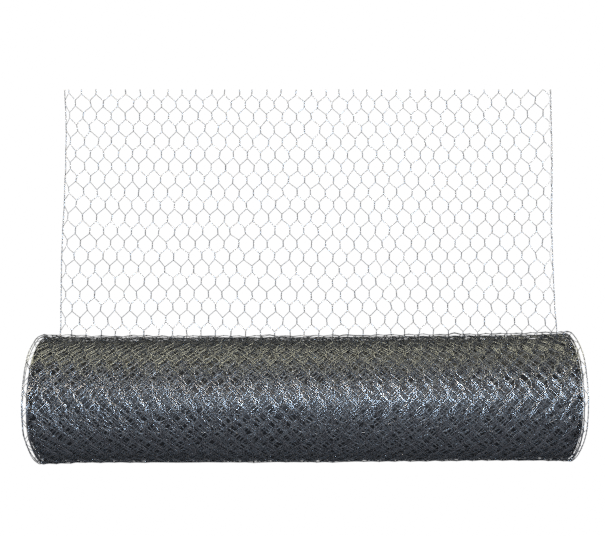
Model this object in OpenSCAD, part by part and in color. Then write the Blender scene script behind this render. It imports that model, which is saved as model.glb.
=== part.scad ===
// Roll of galvanised chicken wire lying on its side, with its loose end run out
// flat from under the roll.
// X runs along the roll and +Y is the way the loose end runs out. The origin is
// on the floor, at the middle of the space that the whole thing covers.

/* [Roll] */
// Width of the netting, which is the length of the roll
roll_w = 900; // [450:10:1800]
// Outside diameter of the wound roll
roll_d = 210; // [150:1:320]
// Diameter of the open bore left by the winding mandrel
bore_d = 60; // [30:1:90]
// Thickness that each turn adds to the roll
turn_pitch = 1.3; // [1.2:0.1:4]
// How far the selvedge of each turn stands out of the end of the roll
end_ridge = 1.2; // [0.5:0.1:3]

/* [Netting] */
// Diameter of the wire
wire_d = 0.9; // [0.6:0.1:1.6]
// Distance between neighbouring twists in one row
cell_w = 26.2; // [18:0.1:55]
// Distance between one row of twists and the next
row_pitch = 23.3; // [16:0.1:45]
// Length of a twist
twist_len = 11.8; // [6:0.1:14]

/* [Loose end] */
// Rows of cells in the loose end
loose_rows = 25; // [7:1:33]
// Rows that lie flat in front of the axis, under the weight of the roll
front_rows = 1; // [1:1:2]
// How far in front of the axis the twists that bear the roll are centred
bearing_shift = 5; // [0:0.5:5.5]

/* [Hidden] */
$fn = 128;

// A twist is two wires round each other
twist_d = 2 * wire_d;
roll_r = roll_d / 2;
bore_r = bore_d / 2;
roll_z = twist_d + roll_r;

// The loose end starts just in front of the roll's axis. The front of the roll
// and the far edge of the loose end are equally far from the origin.
loose_l = (loose_rows - front_rows) * row_pitch - bearing_shift;
roll_y = (roll_r - loose_l) / 2;
net_y = roll_y - bearing_shift - front_rows * row_pitch;

// The first row of each of its three strips, and the end of the last
near_row = 0;
middle_row = ceil(loose_rows / 3);
far_row = 2 * middle_row;
end_row = loose_rows;

// Turns of the wound roll, and the length of its body between the selvedges
turns = floor((roll_r - bore_r) / turn_pitch);
turn_t = (roll_r - bore_r) / turns;
body_w = roll_w - 2 * end_ridge;

// Height of a cell's slanting sides, and how far a side of a hole stands in
// from the middle line of its wire, measured up the page
rise = row_pitch - twist_len;
slope = rise / (cell_w / 2);
slant_inset = wire_d / 2 * sqrt(1 + slope * slope);
hole_tip = row_pitch - twist_len / 2 - slant_inset;
hole_half_w = (cell_w - twist_d) / 2;

// Cells are counted out from the middle, and the selvedge trims the last ones
side_cells = ceil(roll_w / 2 / cell_w) + 1;
hole_limit = roll_w / 2 - twist_d;
min_hole = twist_d;

// A single wire is thinner than a twist, and lies on the floor between two twists
single_l = row_pitch - 2 * (hole_tip - slope * hole_half_w);

cut_slack = 1;

galvanised = "#8d9192";

// Half the height of a cell's hole at a distance dx from its middle
function half_height(dx) = hole_tip - slope * abs(dx);

// Where the twists of a row sit, as a shift of the row along X
function row_shift(row) = (row % 2 == 0 ? -1 : 1) * cell_w / 4;

// Outline of one cell's hole, trimmed at the selvedges
module cell_outline(x, y) {
    x_low = max(x - hole_half_w, -hole_limit);
    x_high = min(x + hole_half_w, hole_limit);
    x_mid = min(max(x, x_low), x_high);
    xs = x_mid > x_low && x_mid < x_high ? [x_low, x_mid, x_high] : [x_low, x_high];
    last = len(xs) - 1;
    if (x_high - x_low > min_hole)
        polygon(concat(
            [for (i = [0 : last]) [xs[i], y - half_height(xs[i] - x)]],
            [for (i = [last : -1 : 0]) [xs[i], y + half_height(xs[i] - x)]]));
}

// The holes of one row of cells, which lie between that row's twists
module row_of_holes(row, y) {
    for (cell = [-side_cells : side_cells - 1])
        translate([0, 0, -cut_slack])
            linear_extrude(twist_d + 2 * cut_slack)
                cell_outline(row_shift(row) + (cell + 0.5) * cell_w, y);
}

// The room above the single wires that join one row of twists to the next
module room_above_wires(y) {
    translate([-hole_limit, y - single_l / 2, wire_d])
        cube([2 * hole_limit, single_l, wire_d + cut_slack]);
}

// One strip of flat netting, from the middle of one row of twists to the middle
// of another
module netting_strip(first_row, last_row) {
    color(galvanised)
    difference() {
        translate([-roll_w / 2, net_y + first_row * row_pitch, 0])
            cube([roll_w, (last_row - first_row) * row_pitch, twist_d]);
        for (row = [first_row : last_row])
            row_of_holes(row, net_y + row * row_pitch);
        for (row = [first_row : last_row - 1])
            room_above_wires(net_y + (row + 0.5) * row_pitch);
    }
}

// The wound turns as one turned solid, each turn's selvedge a ridge on the ends
module wire_roll() {
    color(galvanised)
    translate([0, roll_y, roll_z])
        rotate([0, 90, 0])
            rotate_extrude()
                polygon(concat(
                    [for (i = [0 : turns - 1]) each [
                        [bore_r + i * turn_t, -body_w / 2],
                        [bore_r + (i + 0.5) * turn_t, -roll_w / 2]]],
                    [[roll_r, -body_w / 2], [roll_r, body_w / 2]],
                    [for (i = [turns - 1 : -1 : 0]) each [
                        [bore_r + (i + 0.5) * turn_t, roll_w / 2],
                        [bore_r + i * turn_t, body_w / 2]]]));
}

module loose_end_near() netting_strip(near_row, middle_row);
module loose_end_middle() netting_strip(middle_row, far_row);
module loose_end_far() netting_strip(far_row, end_row);

wire_roll();
loose_end_near();
loose_end_middle();
loose_end_far();
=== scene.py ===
# A roll of galvanised chicken wire on its side, its loose end run out flat from under it.
# One repeat of the weave is arrayed into flat netting, and the netting is then wound up. The wires
# that can be told apart are real ones, round a body that stands for the turns packed under them.
# Metres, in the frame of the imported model.
import math

import bpy
import numpy as np
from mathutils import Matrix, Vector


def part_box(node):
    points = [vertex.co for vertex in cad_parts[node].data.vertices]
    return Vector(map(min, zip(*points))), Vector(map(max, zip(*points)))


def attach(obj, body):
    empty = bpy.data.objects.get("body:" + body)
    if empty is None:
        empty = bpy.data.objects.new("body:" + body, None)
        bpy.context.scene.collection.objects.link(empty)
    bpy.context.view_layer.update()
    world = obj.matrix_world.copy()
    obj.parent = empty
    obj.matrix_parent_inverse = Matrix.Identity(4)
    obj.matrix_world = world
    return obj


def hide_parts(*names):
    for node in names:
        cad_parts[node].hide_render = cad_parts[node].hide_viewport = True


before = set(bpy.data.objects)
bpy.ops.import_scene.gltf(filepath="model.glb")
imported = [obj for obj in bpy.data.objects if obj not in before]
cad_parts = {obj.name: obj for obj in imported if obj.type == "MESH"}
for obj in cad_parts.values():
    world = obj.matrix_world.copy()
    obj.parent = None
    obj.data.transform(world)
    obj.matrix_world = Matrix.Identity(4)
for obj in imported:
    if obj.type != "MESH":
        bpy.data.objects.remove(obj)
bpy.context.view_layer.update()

rollLow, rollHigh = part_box("wire_roll")
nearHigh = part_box("loose_end_near")[1]
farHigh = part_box("loose_end_far")[1]
axisY = (rollLow.y + rollHigh.y) / 2
rollRadius = (rollHigh.z - rollLow.z) / 2
wireDia = nearHigh.z / 2  # a twist is two wires thick
halfWidth = nearHigh.x
tailEnd = farHigh.y
print("frame loaded, wire", round(wireDia * 1000, 2), "mm")


# camera

cameraView = {
    "height": 1.82,
    "elevation": 85.3,
    "forward": 0.0814,  # how far the camera stands past the roll's axis
    "side": -0.004,
    "focal": 59.9,
}


def addCamera():
    v = cameraView
    spot = (v["side"], axisY + v["forward"], v["height"])
    bpy.ops.object.camera_add(location=spot, rotation=(math.radians(90 - v["elevation"]), 0, 0))
    camera = bpy.context.object
    camera.name = "camera"
    camera.data.lens = v["focal"]
    camera.data.clip_end = 50
    bpy.context.scene.camera = camera


addCamera()
print("camera placed")


# the weave

weave = {
    "cellWidth": 0.0262,
    "rowPitch": 0.0233,
    "twistLength": 0.0118,
    "columns": 34,
    "selvedgeTurns": 3,  # in each two rows
    "bearingShift": 0.005,  # the row of twists under the roll is this far in front of its axis
}
# how finely each stretch of the netting is made, from the loose end in to the inner turns:
# sides of the wire's section, steps and turns of a twist, and steps of the selvedge in two rows
fine = {"sides": 4, "steps": 12, "turns": 2, "selvedgeSteps": 18}
medium = {"sides": 4, "steps": 8, "turns": 2, "selvedgeSteps": 12}
plain = {"sides": 4, "steps": 4, "turns": 1, "selvedgeSteps": 6}
coarse = {"sides": 3, "steps": 1, "turns": 0, "selvedgeSteps": 6}

edgeX = halfWidth - 1.2 * wireDia  # middle of the selvedge
edgeReach = 0.9  # in wire diameters: the last wires go round both wires of the selvedge
firstColumn = -(weave["columns"] // 2)


def startFresh():
    if bpy.context.object and bpy.context.object.mode != "OBJECT":
        bpy.ops.object.mode_set(mode="OBJECT")
    bpy.ops.object.select_all(action="DESELECT")


def joinAll(name, parts):
    startFresh()
    for part in parts:
        part.select_set(True)
    bpy.context.view_layer.objects.active = parts[0]
    bpy.ops.object.join()
    joined = bpy.context.object
    joined.name = name
    joined.data.name = name
    return joined


def applyArray(piece, count, step, merge=False):
    startFresh()
    piece.select_set(True)
    bpy.context.view_layer.objects.active = piece
    bpy.ops.object.modifier_add(type="ARRAY")
    array = piece.modifiers[-1]
    array.count = count
    array.use_relative_offset = False
    array.use_constant_offset = True
    array.constant_offset_displace = step
    array.use_merge_vertices = merge
    array.merge_threshold = wireDia / 50
    bpy.ops.object.modifier_apply(modifier=array.name)


def twistPath(twist, y, hand, detail):
    # one wire's way through a twist: round the other wire, and out on the side it came in
    length, radius = weave["twistLength"], wireDia * twist["reach"]
    phase = 0 if twist["side"] > 0 else math.pi
    points = []
    for i in range(detail["steps"] + 1):
        t = i / detail["steps"]
        angle = phase + hand * 2 * math.pi * detail["turns"] * t
        points.append((
            twist["x"] + radius * math.cos(angle), y + (t - 0.5) * length, radius * math.sin(angle)
        ))
    return points


def strandPath(first, second, detail):
    # one repeat of a wire, two rows long, from the middle of one slant to the middle of another
    pitch = weave["rowPitch"]
    lead = (first["x"] + second["x"] + (first["side"] + second["side"]) * wireDia / 2) / 2
    points = [(lead, -1.5 * pitch, 0)]
    points += twistPath(first, -pitch, 1, detail)
    points += twistPath(second, 0, -1, detail)
    points.append((lead, 0.5 * pitch, 0))
    return points


def selvedgePath(x, phase, detail):
    # one of the selvedge's two wires, twisted all the way along
    pitch = weave["rowPitch"]
    points = []
    for i in range(detail["selvedgeSteps"] + 1):
        t = i / detail["selvedgeSteps"]
        angle = phase + 2 * math.pi * weave["selvedgeTurns"] * t
        points.append((
            x + wireDia / 2 * math.cos(angle), (2 * t - 1.5) * pitch, wireDia / 2 * math.sin(angle)
        ))
    return points


def wireSection(detail):
    # a section with few sides that looks as wide as the round wire, on average from all sides
    sides = detail["sides"]
    radius = wireDia / 2 * math.pi / (sides * math.sin(math.pi / sides))
    startFresh()
    bpy.ops.mesh.primitive_circle_add(vertices=sides, radius=radius)
    bpy.ops.object.convert(target="CURVE")
    return bpy.context.object


def makeStrand(points, section):
    curve = bpy.data.curves.new("strand", "CURVE")
    curve.dimensions = "3D"
    curve.twist_mode = "Z_UP"
    curve.bevel_mode = "OBJECT"
    curve.bevel_object = section
    spline = curve.splines.new("POLY")
    spline.points.add(len(points) - 1)
    for point, spot in zip(spline.points, points):
        point.co = (*spot, 1)
    strand = bpy.data.objects.new("strand", curve)
    bpy.context.scene.collection.objects.link(strand)
    startFresh()
    strand.select_set(True)
    bpy.context.view_layer.objects.active = strand
    bpy.ops.object.convert(target="MESH")
    return bpy.context.object


def twistAt(x, side, reach=0.5):
    # side: which side of the twist the wire comes in on
    # reach: how many wire diameters it keeps from the middle of the twist
    return {"x": x, "side": side, "reach": reach}


def flatNetting(name, firstRepeat, repeats, detail, columns=None):
    # columns: how many columns of twists to keep at each edge, where it isn't the full width
    width = weave["cellWidth"]
    section = wireSection(detail)
    count = weave["columns"]
    leftX = width / 4 + firstColumn * width  # first twist of the rows that start near the left edge
    rightX = -width / 4 + (firstColumn + count) * width
    runs = [(0, columns), (count - columns, columns)] if columns else [(0, count)]
    strands = []

    def addStrand(path, copies=1):
        strand = makeStrand(path, section)
        applyArray(strand, repeats, (0, 2 * weave["rowPitch"], 0), merge=True)
        if copies > 1:
            applyArray(strand, copies, (width, 0, 0))
        strands.append(strand)

    for start, copies in runs:
        x = leftX + start * width
        addStrand(strandPath(twistAt(x, 1), twistAt(x + width / 2, -1), detail), copies)
        skip = 1 if start == 0 else 0  # the first wire's other twist is with the selvedge
        x += skip * width
        addStrand(strandPath(twistAt(x, -1), twistAt(x - width / 2, 1), detail), copies - skip)
    addStrand(strandPath(twistAt(leftX, -1), twistAt(-edgeX, 1, edgeReach), detail))
    addStrand(strandPath(twistAt(edgeX, -1, edgeReach), twistAt(rightX, 1), detail))
    for x in (-edgeX, edgeX):
        addStrand(selvedgePath(x, 0.5 * math.pi, detail))
        addStrand(selvedgePath(x, 1.5 * math.pi, detail))
    netting = joinAll(name, strands)
    bpy.ops.object.mode_set(mode="EDIT")
    bpy.ops.mesh.select_all(action="SELECT")
    start = axisY - weave["bearingShift"] + (2 * firstRepeat + 1) * weave["rowPitch"]
    bpy.ops.transform.translate(value=(0, start, 0))
    bpy.ops.mesh.fill_holes(sides=0)
    bpy.ops.mesh.select_all(action="SELECT")
    bpy.ops.mesh.normals_make_consistent(inside=False)
    bpy.ops.object.mode_set(mode="OBJECT")
    bpy.data.objects.remove(section)
    return netting


# winding

winding = {
    "turnThickness": 0.00125,
    "outerRadius": rollRadius,
    "boreRadius": 0.0306,
    "turnsInStep": 4,  # the outer turns' cells lie over each other, each turn's a little further round
    "stepBehind": 0.003,
    "slack": 0.0022,  # how far the outer turn stands off behind the roll
    "slackSpan": (0.3, 1.05),  # spans are in turns from the floor
    "leftTight": 0.0012,  # how much less slack there is at the left end
    "tightWidth": 0.985,
    "narrowSpan": (0.75, 2.4),  # the outer turns draw in one after another
    "rearBulge": 0.0017,
    "frontPacking": 0.0006,  # how much closer together the outer turns lie along the front
    "packedTurns": 5,
    "endFlare": 0.0026,  # the twisted selvedges make the ends of the roll thicker
    "endFlareLength": 0.13,
    "rightBack": 0.004,  # how far the right end lies behind its place
    "leftForward": 0.0007,
    "leanSpan": (0, 0.2),
    "frontTuck": (0.0125, 0.007),  # how far the outer turn's left and right edge are pushed in
    "frontTuckSpan": (0, 0.15, 0.3, 0.42),  # where that starts, is full, fades and stops
    "rearTuck": (0.007, 0.005),
    "rearTuckSpan": (0.62, 0.72, 0.85, 0.95),
    "innerTuck": 0.5,  # the inner turns' share of the tucks
    "innerTuckSpan": (0.2, 1.2),
}
centreZ = wireDia + winding["outerRadius"]


def ramp(value, start, end):
    # 0 at the start, 1 at the end, which may be the lower of the two
    return np.clip((value - start) / (end - start), 0, 1)


def slackOff(turn):
    # how far the outer turn stands off behind the roll, as a share of the slack
    part = ramp(turn, *winding["slackSpan"])
    return 6.75 * part ** 2 * (1 - part)  # 6.75 brings its peak to 1


def windingTable():
    # radius and length of netting used, for each angle wound up from the floor
    w = winding
    turnCount = (w["outerRadius"] - w["boreRadius"]) / w["turnThickness"]
    turn = np.linspace(0, turnCount, int(turnCount * 180))  # a step for each two degrees
    radius = w["outerRadius"] - w["turnThickness"] * turn
    radius += w["slack"] * slackOff(turn)
    angle = turn * 2 * math.pi
    steps = np.diff(angle) * (radius[1:] + radius[:-1]) / 2
    length = np.concatenate([[0], np.cumsum(steps)])
    # the cells give a little, so that the outer turns each take the same length of netting
    around = 2 * math.pi * w["outerRadius"]
    repeat = 2 * weave["rowPitch"]
    give = round(around / repeat) * repeat + w["stepBehind"] - around
    shrink = 2 * math.pi * w["turnThickness"]
    inStep = np.minimum(turn, w["turnsInStep"])
    length += give * turn + shrink * inStep * (turn - inStep / 2)
    return angle, radius, length


windAngle, windRadius, windLength = windingTable()


def randomWaves(seed, shortest, longest, count=24):
    # a smooth random field over the netting, the same at every run
    random = np.random.default_rng(seed)
    wave = 2 * math.pi / random.uniform(shortest, longest, count)
    heading = random.uniform(0, 2 * math.pi, count)
    phase = random.uniform(0, 2 * math.pi, count)

    def field(x, y):
        total = np.zeros_like(x)
        for k, a, p in zip(wave, heading, phase):
            total += np.cos(k * (x * math.cos(a) + y * math.sin(a)) + p)
        return total * math.sqrt(2 / count)  # which brings its usual height to 1

    return field


uneven = {
    "across": 0.0009,  # how far each twist is out of place
    "along": 0.0006,
    "driftAcross": 0.0011,  # how far a whole patch of cells is
    "driftAlong": 0.0013,
    "edge": 0.02,  # the selvedges keep the twists next to them in line
    "edgeShare": 0.15,
    "calm": 0.85,  # how much less that is where the wound turns hold each other in line
    "calmFrom": 0.3,  # the length of netting from the floor on which that comes about
    "tightBulge": 0.0003,
    "looseBulge": 0.0008,  # the slack turn's
    "evenBelow": 0.3,  # in radii: every turn lies even where it bears on the floor
    "tightDrift": 0.001,  # how far an inner turn's cells drift off those of the turn over it
    "driftSpan": (1, 2),
    "driftEdge": 0.15,  # the drift fades out this far from the ends
    "wander": 0.0011,  # how far the wound turns move to and fro along the roll
    "wanderSpan": (0.6, 1),
}
loosePull = {  # how the loose end is pulled out of true; spans are distances past the roll's axis
    "shift": 0.0045,
    "shiftSpan": (0, 0.12),
    "onward": 0.001,
    "leftWaist": 0.004,
    "waistSpan": (0.16, 0.54),
    "rightSide": 0.002,
    "rightFlare": 0.0066,
    "rightCorner": 0.0143,
    "flareSpan": (0.27, 0.556),
    "leftCorner": 0.0045,
    "leftCornerSpan": (0.22, 0.34),
    "leftHem": 0.0025,  # how far each selvedge is drawn in, over the hem's width
    "rightHem": 0.0085,
    "rightHemSpan": (0.1, 0.3),
    "hemWidth": 0.0115,
}
acrossField = randomWaves(3, 0.035, 0.075)
alongField = randomWaves(5, 0.035, 0.075)
driftAcrossField = randomWaves(13, 0.14, 0.5)
driftAlongField = randomWaves(17, 0.14, 0.5)
tightAcrossField = randomWaves(19, 0.5, 1.6)
tightAlongField = randomWaves(23, 0.5, 1.6)
bulgeField = randomWaves(7, 0.025, 0.09)
wanderField = randomWaves(11, 0.35, 1.6)


def pullLoose(x, beyond):
    # how far a point of the loose end is pulled off its place, beyond being its distance past the axis
    p = loosePull
    right, left = ramp(x, 0, halfWidth), ramp(-x, 0, halfWidth)
    out, flared = ramp(beyond, *p["shiftSpan"]), ramp(beyond, *p["flareSpan"])
    waist = np.sin(math.pi * ramp(beyond, *p["waistSpan"]))
    pullX = p["shift"] * out + p["leftWaist"] * left ** 2 * waist
    pullX += right ** 2 * (p["rightSide"] * out + p["rightFlare"] * flared)
    hem = ramp(np.abs(x), edgeX - p["hemWidth"], edgeX - 1.5 * wireDia)
    rightHem = p["rightHem"] * ramp(beyond, *p["rightHemSpan"])
    pullX += hem * np.where(x < 0, p["leftHem"] * out, -rightHem)
    pullY = p["onward"] * out + p["rightCorner"] * right ** 5 * flared
    pullY += p["leftCorner"] * left ** 4 * ramp(beyond, *p["leftCornerSpan"])
    return pullX, pullY


def bendFlat(x, y):
    # where each point of flat netting lies once its cells are a little out of true
    u = uneven
    beyond = y - axisY
    edgeFade = np.maximum(ramp(halfWidth - np.abs(x), 0, u["edge"]), u["edgeShare"])
    calm = 1 - u["calm"] * ramp(-beyond, 0, u["calmFrom"])
    pullX, pullY = pullLoose(x, beyond)
    bentX = x + calm * u["across"] * acrossField(x, y) * edgeFade
    bentX += calm * u["driftAcross"] * driftAcrossField(x, y) + pullX
    bentY = y + calm * u["along"] * alongField(x, y)
    bentY += calm * u["driftAlong"] * driftAlongField(x, y) + pullY
    return bentX, bentY


def hump(value, start, full, fade, stop):
    # up from the start to full, and down again from the fade to the stop
    return ramp(value, start, full) * ramp(value, stop, fade)


def edgeTuck(turn, x):
    # how far a selvedge is pushed in along the roll
    w = winding
    side = (x > 0).astype(int)
    around = turn % 1  # 0.25 at the front, 0.5 on top and 0.75 at the rear
    tuck = np.take(w["frontTuck"], side) * hump(around, *w["frontTuckSpan"])
    tuck += np.take(w["rearTuck"], side) * hump(around, *w["rearTuckSpan"])
    share = 1 - (1 - w["innerTuck"]) * ramp(turn, *w["innerTuckSpan"])
    return share * ramp(np.abs(x), 0, halfWidth) ** 4 * tuck


def leanBack(x):
    # how far out of line the roll lies at a place along it
    return np.where(x > 0, winding["rightBack"], winding["leftForward"]) * x / halfWidth


def packFront(turn, sine):
    # how far a turn is pressed out towards the outer one, along the front of the roll
    packed = np.clip(turn, 0, winding["packedTurns"])
    return winding["frontPacking"] * packed * np.clip(sine, 0, 1) ** 2


def shapeRoll(radius, turn, angle, x, y):
    # how far from the axis each point of the wound netting lies, radius being the same in an even roll
    w, u = winding, uneven
    slack = slackOff(turn)
    raised = ramp(1 - np.cos(angle), 0, u["evenBelow"])
    bulge = u["tightBulge"] + (u["looseBulge"] - u["tightBulge"]) * slack
    radius = radius + bulge * bulgeField(x, y) * raised
    radius -= w["leftTight"] * slack * (0.5 - x / (2 * halfWidth))
    radius += w["rearBulge"] * np.clip(-np.sin(angle), 0, 1) ** 2
    radius *= 1 + packFront(turn - 0.25, np.sin(angle)) / w["outerRadius"]  # the front is at 0.25
    flare = ramp(halfWidth - np.abs(x), w["endFlareLength"], 0) ** 2
    return radius * (1 + w["endFlare"] * flare * raised / w["outerRadius"])


def windUp(netting):
    # takes flat netting to its place: bent out of true a little, then laid flat or wound round the roll
    w, u = winding, uneven
    mesh = netting.data
    spots = np.empty(len(mesh.vertices) * 3)
    mesh.vertices.foreach_get("co", spots)
    spots = spots.reshape(-1, 3)
    x, y, up = spots[:, 0].copy(), spots[:, 1].copy(), spots[:, 2].copy()
    bentX, bentY = bendFlat(x, y)
    used = axisY - bentY  # length of netting past the line where it meets the floor
    angle = np.interp(used, windLength, windAngle)
    radius = np.interp(used, windLength, windRadius)
    turn = angle / (2 * math.pi)
    drift = u["tightDrift"] * ramp(turn, *u["driftSpan"])
    drawn = ramp(halfWidth - np.abs(x), 0, u["driftEdge"])
    bentX += drift * drawn * tightAcrossField(x, y)
    bentX *= 1 + (w["tightWidth"] - 1) * ramp(turn, *w["narrowSpan"])
    bentX += u["wander"] * wanderField(np.zeros_like(x), used) * ramp(turn, *u["wanderSpan"])
    bentX -= np.sign(x) * edgeTuck(turn, x)
    angle += drift * tightAlongField(x, y) / radius
    radius = shapeRoll(radius - up, turn, angle, x, y)
    lean = leanBack(x) * ramp(turn, *w["leanSpan"])
    wound = used > 0
    spots[:, 0] = bentX
    spots[:, 1] = np.where(wound, axisY + lean - radius * np.sin(angle), bentY)
    spots[:, 2] = np.maximum(np.where(wound, centreZ - radius * np.cos(angle), wireDia + up), 0)
    mesh.vertices.foreach_set("co", spots.ravel())
    mesh.update()


cutPast = 0.0062  # how far past the middle of the last row's twists the wires are cut


def cutTail(netting):
    startFresh()
    netting.select_set(True)
    bpy.context.view_layer.objects.active = netting
    bpy.ops.object.mode_set(mode="EDIT")
    bpy.ops.mesh.select_all(action="SELECT")
    cut = (0, tailEnd + cutPast, 0)
    bpy.ops.mesh.bisect(plane_co=cut, plane_no=(0, 1, 0), use_fill=True, clear_outer=True)
    bpy.ops.object.mode_set(mode="OBJECT")


# stretches of the netting, from the cut end inwards: repeats are counted from the floor line
stretches = [
    {"name": "loose_end", "first": 0, "repeats": 13, "detail": fine},
    {"name": "outer_turn", "first": -15, "repeats": 15, "detail": medium},
    {"name": "second_turns", "first": -43, "repeats": 28, "detail": plain},
    {"name": "third_turns", "first": -72, "repeats": 29, "detail": plain},
]


def buildNetting():
    pieces = []
    for stretch in stretches:
        netting = flatNetting(stretch["name"], stretch["first"], stretch["repeats"], stretch["detail"])
        windUp(netting)
        pieces.append(netting)
        print(netting.name, len(netting.data.polygons), "faces")
    cutTail(pieces[0])
    done = -stretches[-1]["first"]
    repeats = int(windLength[-1] / (2 * weave["rowPitch"])) - done
    ends = flatNetting("inner_turn_ends", -done - repeats, repeats, coarse, 1)
    windUp(ends)
    pieces.append(ends)
    print(ends.name, len(ends.data.polygons), "faces")
    return pieces


nettingPieces = buildNetting()


# the inner turns away from the ends, packed too deep to be seen one by one

core = {"halfLength": 0.4345, "outerRadius": 0.0984, "innerRadius": 0.0318, "steps": 96}


def addCore():
    thickness = core["outerRadius"] - core["innerRadius"]
    startFresh()
    bpy.ops.mesh.primitive_plane_add(size=1, location=(0, 0, 0), rotation=(math.pi / 2, 0, 0))
    body = bpy.context.object
    body.name = "inner_turns"
    body.dimensions = (2 * core["halfLength"], thickness, 0)
    body.location = (0, 0, core["innerRadius"] + thickness / 2)
    bpy.ops.object.transform_apply(location=True, rotation=True, scale=True)
    bpy.ops.object.modifier_add(type="SCREW")
    screw = body.modifiers[-1]
    screw.axis = "X"
    screw.steps = core["steps"]
    screw.render_steps = core["steps"]
    screw.use_merge_vertices = True
    screw.use_normal_calculate = True
    bpy.ops.object.modifier_apply(modifier=screw.name)
    body.location = (0, axisY, centreZ)
    bpy.ops.object.transform_apply(location=True, rotation=False, scale=False)
    bpy.ops.object.mode_set(mode="EDIT")
    bpy.ops.mesh.select_all(action="SELECT")
    bpy.ops.mesh.normals_make_consistent(inside=False)
    bpy.ops.mesh.bisect(plane_co=(0, 0, 0), plane_no=(1, 0, 0))
    bpy.ops.object.mode_set(mode="OBJECT")
    for vertex in body.data.vertices:  # it follows the turns round it
        dy, dz = vertex.co.y - axisY, vertex.co.z - centreZ
        pressed = packFront(winding["packedTurns"], -dy / math.hypot(dy, dz)) / winding["outerRadius"]
        vertex.co.y += float(dy * pressed + leanBack(vertex.co.x))
        vertex.co.z += float(dz * pressed)
    print(body.name, len(body.data.polygons), "faces")
    return body


innerTurns = addCore()
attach(innerTurns, "root")

for piece in nettingPieces:
    piece.data.polygons.foreach_set("use_smooth", [True] * len(piece.data.polygons))
    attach(piece, "root")
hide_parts("loose_end_near", "loose_end_middle", "loose_end_far")
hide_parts("wire_roll")


def sRgb(code):
    parts = [int(code[i:i + 2], 16) / 255 for i in (1, 3, 5)]
    return (*[p / 12.92 if p <= 0.04045 else ((p + 0.055) / 1.055) ** 2.4 for p in parts], 1)


def addNode(tree, kind, settings=(), inputs=(), links=()):
    # inputs: values by socket, links: sockets of other nodes by socket
    node = tree.nodes.new(kind)
    for name, value in dict(settings).items():
        setattr(node, name, value)
    for socket, value in dict(inputs).items():
        node.inputs[socket].default_value = value
    for socket, source in dict(links).items():
        tree.links.new(source, node.inputs[socket])
    return node


def newMaterial(name):
    material = bpy.data.materials.new(name)
    material.use_nodes = True
    return material, material.node_tree, material.node_tree.nodes["Principled BSDF"]


# hot-dip galvanised wire: a bright zinc skin, wiped as it was drawn out of the bath, so its gloss and
# its grey change every few millimetres along the wire
zinc = {
    "dark": "#64686b",
    "light": "#85898c",
    "spangle": 0.004,  # one crystal of zinc
    "patches": 0.03,
    "smooth": 0.24,
    "dull": 0.4,
}


def galvanisedSteel():
    material, tree, shader = newMaterial("hot-dip galvanised steel wire")
    spot = addNode(tree, "ShaderNodeTexCoord").outputs["Object"]
    spangle = addNode(
        tree, "ShaderNodeTexVoronoi", inputs={"Scale": 1 / zinc["spangle"]}, links={"Vector": spot}
    )
    patches = addNode(
        tree, "ShaderNodeTexNoise", inputs={"Scale": 1 / zinc["patches"], "Detail": 3},
        links={"Vector": spot}
    )
    grey = addNode(
        tree, "ShaderNodeMix", {"data_type": "RGBA"},
        {6: sRgb(zinc["dark"]), 7: sRgb(zinc["light"])}, {0: spangle.outputs["Color"]}
    )
    gloss = addNode(  # most of the noise lies between 0.3 and 0.7
        tree, "ShaderNodeMapRange",
        inputs={1: 0.3, 2: 0.7, 3: zinc["smooth"], 4: zinc["dull"]}, links={0: patches.outputs[0]}
    )
    tree.links.new(grey.outputs[2], shader.inputs["Base Color"])
    tree.links.new(gloss.outputs[0], shader.inputs["Roughness"])
    shader.inputs["Metallic"].default_value = 1
    return material


steel = galvanisedSteel()
for piece in nettingPieces:
    piece.data.materials.clear()
    piece.data.materials.append(steel)


# turn upon turn of galvanised netting, too fine and too many for real wires: slanting wires painted over
# a near-black that is painted shade for the gaps between them, each turn painted dimmer than the turn
# over it, as painted shade from the turns above
deepWires = {
    # painted shade: the near-black between the wires, where no light reaches the turns under them
    "paintedGapShade": "#0c0d0e",
    "cell": 0.018,  # from one slanting wire to the next one that runs the same way
    "wire": 0.0011,
    "tilts": (0.0, 0.09, -0.07, 0.04, -0.11),  # how far each turn, the outermost first, is out of line
    "fade": 0.78,  # painted shade: how bright each turn is painted, as a share of the one over it
    "uneven": 0.4,
    "relief": 0.9,
    "roughness": 0.4,
    "specular": 0.1,  # little light gets in between the wires
    "gapRoughness": 0.9,
}


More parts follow.
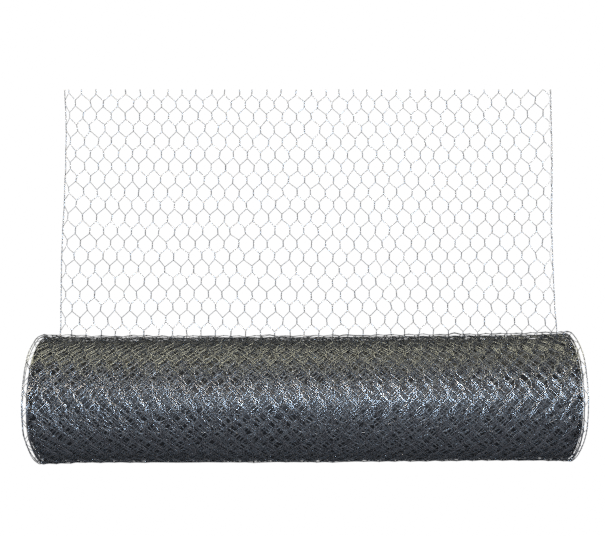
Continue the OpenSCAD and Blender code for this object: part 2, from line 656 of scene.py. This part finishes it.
def deepNettingWithPaintedShade():
    material, tree, shader = newMaterial("galvanised wire netting, turn upon turn")
    d = deepWires
    spot = addNode(tree, "ShaderNodeTexCoord").outputs["Object"]
    centred = addNode(
        tree, "ShaderNodeMapping", inputs={"Location": (0, -axisY, -centreZ)}, links={"Vector": spot}
    )
    parts = addNode(tree, "ShaderNodeSeparateXYZ", links={0: centred.outputs[0]})
    angle = addNode(
        tree, "ShaderNodeMath", {"operation": "ARCTAN2"}, links={0: parts.outputs[1], 1: parts.outputs[2]}
    )
    around = addNode(
        tree, "ShaderNodeMath", {"operation": "MULTIPLY"}, {1: core["outerRadius"]}, {0: angle.outputs[0]}
    )
    flat = addNode(tree, "ShaderNodeCombineXYZ", links={0: parts.outputs[0], 1: around.outputs[0]})
    seen = None
    for i, tilt in enumerate(d["tilts"]):
        apart = (0.37 * i, 0.61 * i, 0)  # any place that is some way off the other turns'
        turned = addNode(
            tree, "ShaderNodeMapping",
            inputs={"Location": apart, "Rotation": (0, 0, math.pi / 4 + tilt)},
            links={"Vector": flat.outputs[0]}
        )
        cells = addNode(
            tree, "ShaderNodeTexVoronoi", {"voronoi_dimensions": "2D", "feature": "DISTANCE_TO_EDGE"},
            {"Scale": 1 / d["cell"], "Randomness": d["uneven"]}, {"Vector": turned.outputs[0]}
        )
        # each deeper turn's wires are painted dimmer, as painted shade from the turns over it
        wire = addNode(
            tree, "ShaderNodeMapRange", {"interpolation_type": "SMOOTHSTEP"},
            {1: 0, 2: d["wire"] / d["cell"], 3: d["fade"] ** i, 4: 0}, {0: cells.outputs["Distance"]}
        )
        if seen:
            seen = addNode(
                tree, "ShaderNodeMath", {"operation": "MAXIMUM"},
                links={0: seen.outputs[0], 1: wire.outputs[0]}
            )
        else:
            seen = wire
    # the wires painted grey over the near-black painted shade of the gaps
    grey = addNode(
        tree, "ShaderNodeMix", {"data_type": "RGBA"},
        {6: sRgb(d["paintedGapShade"]), 7: sRgb(zinc["dark"])}, {0: seen.outputs[0]}
    )
    raised = addNode(
        tree, "ShaderNodeBump", inputs={"Distance": wireDia, "Strength": d["relief"]},
        links={"Height": seen.outputs[0]}
    )
    tree.links.new(grey.outputs[2], shader.inputs["Base Color"])
    tree.links.new(seen.outputs[0], shader.inputs["Metallic"])
    tree.links.new(raised.outputs[0], shader.inputs["Normal"])
    shader.inputs["Roughness"].default_value = d["roughness"]
    shader.inputs["Specular IOR Level"].default_value = d["specular"]
    return material


# a near-black for the ends of the inner turns: painted shade, where light doesn't reach between the turns
def paintedShadeGap():
    material, tree, shader = newMaterial("painted shade between the turns")
    shader.inputs["Base Color"].default_value = sRgb(deepWires["paintedGapShade"])
    shader.inputs["Roughness"].default_value = deepWires["gapRoughness"]
    return material


innerTurns.data.materials.append(deepNettingWithPaintedShade())
innerTurns.data.materials.append(paintedShadeGap())
for face in innerTurns.data.polygons:
    if abs(face.normal.x) > 0.5:  # the ends, behind the selvedges, painted near-black as shade
        face.material_index = 1
print("materials made")


# floor and light

studio = {
    "radius": 8,
    "paper": "#5a5a5a",
    "paperRoughness": 0.9,
    "fill": "#f5f1ff",
    "fillStrength": 0.51,
}


def whiteToEye(name):
    # white to the eye whatever the light, but grey, or faintly glowing, in what the wires reflect
    material, tree, shader = newMaterial(name)
    shader.inputs["Base Color"].default_value = sRgb(studio["paper"])
    shader.inputs["Roughness"].default_value = studio["paperRoughness"]
    glow = addNode(tree, "ShaderNodeEmission", inputs={"Strength": 1})
    toEye = addNode(tree, "ShaderNodeLightPath").outputs["Is Camera Ray"]
    both = addNode(
        tree, "ShaderNodeMixShader", links={0: toEye, 1: shader.outputs[0], 2: glow.outputs[0]}
    )
    tree.links.new(both.outputs[0], tree.nodes["Material Output"].inputs["Surface"])
    return material, shader


def addFloor():
    startFresh()
    bpy.ops.mesh.primitive_plane_add(size=2.2 * studio["radius"], location=(0, 0, 0))
    floor = bpy.context.object
    floor.name = "floor"
    floor.data.materials.append(whiteToEye("white paper")[0])


def addBackdrop():
    startFresh()
    bpy.ops.mesh.primitive_uv_sphere_add(segments=48, ring_count=24, radius=studio["radius"])
    backdrop = bpy.context.object
    backdrop.name = "backdrop"
    material, shader = whiteToEye("backlit white paper")
    shader.inputs["Emission Color"].default_value = sRgb(studio["fill"])
    shader.inputs["Emission Strength"].default_value = studio["fillStrength"]
    backdrop.data.materials.append(material)


addFloor()
addBackdrop()
bpy.context.scene.view_settings.view_transform = "Standard"
bpy.context.scene.cycles.use_denoising = False  # it would smear wires as thin as these
bpy.context.scene.cycles.filter_width = 1.55  # a little soft, as a lens draws them


# places are measured from the floor under the middle of the roll
lights = [
    {
        "name": "overhead", "spot": (0.1, 0.1, 2.4), "target": (0.1, 0.1, 0), "size": (1.3, 0.18),
        "power": 88, "color": (0.63, 0.8, 1.0),
    },
    {
        "name": "rear strip", "spot": (0.1, 0.6, 2.4), "target": (0.1, 0.6, 0), "size": (1.3, 0.18),
        "power": 60, "color": (1.0, 0.82, 0.66),
    },
    {
        "name": "window", "spot": (0, 2.4, 0.5), "target": (0, 0, 0.1), "size": (2.0, 0.7),
        "power": 64, "color": (1.0, 0.9, 0.6),
    },
    {
        "name": "left light", "spot": (-2.4, 0, 0.7), "target": (0, 0, 0.1), "size": (1.8, 1.2),
        "power": 13, "color": (0.93, 0.96, 1.0),
    },
    {
        "name": "right light", "spot": (2.4, 0, 0.7), "target": (0, 0, 0.1), "size": (1.8, 1.2),
        "power": 13, "color": (0.93, 0.96, 1.0),
    },
]


def addLight(name, spot, target, size, power, color):
    x, y, z = spot
    bpy.ops.object.light_add(type="AREA", location=(x, axisY + y, z))
    light = bpy.context.object
    light.name = name
    light.data.shape = "RECTANGLE"
    light.data.size, light.data.size_y = size
    light.data.energy = power
    light.data.color = color
    dx, dy, dz = (t - p for t, p in zip(target, spot))
    flat = math.hypot(dx, dy)
    light.rotation_euler = (math.atan2(flat, -dz), 0, math.atan2(dx, -dy) + math.pi if flat else 0)


for light in lights:
    addLight(**light)
print("lights placed")
